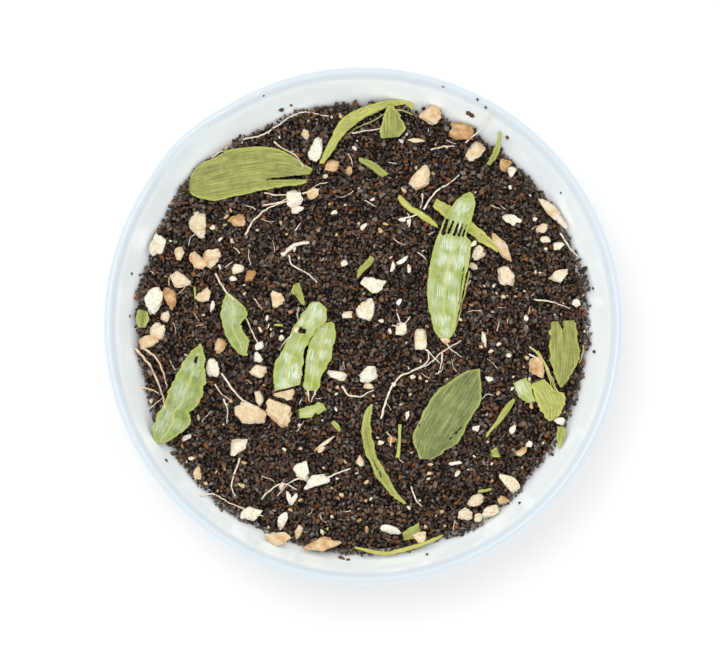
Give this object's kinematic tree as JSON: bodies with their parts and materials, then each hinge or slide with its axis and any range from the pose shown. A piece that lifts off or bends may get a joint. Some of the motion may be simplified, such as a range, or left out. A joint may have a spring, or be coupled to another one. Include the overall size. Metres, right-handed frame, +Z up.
{
  "type": "small round dish of dry spiced tea blend",
  "caption": "Small round white porcelain dish with a shallow pouring spout, filled with loose dry chai tea granules, split cardamom husks, ginger bits and root fibres.",
  "frame": {"origin": "centre of the foot ring's underside, on the surface that the dish stands on", "axes": "+Z up through the middle of the dish, +X to the right and +Y away; the spout points halfway between -X and +Y"},
  "size_m": [0.08, 0.08, 0.0225],
  "materials": {
    "porcelain": "gloss",
    "tea": "matte",
    "husk": "matte",
    "ginger": "matte",
    "root": "matte"
  },
  "bodies": {
    "root": {"dish": "porcelain", "tea_bed": "tea", "husk_upper_left": "husk", "husk_upright": "husk", "husk_left": "husk", "husk_small_left": "husk", "husk_middle": "husk", "husk_middle_right": "husk", "husk_lower_right": "husk", "husk_right": "husk", "husk_right_low": "husk", "husk_top": "husk", "strip_middle": "husk", "strip_bottom": "husk"}
  },
  "joints": []
}
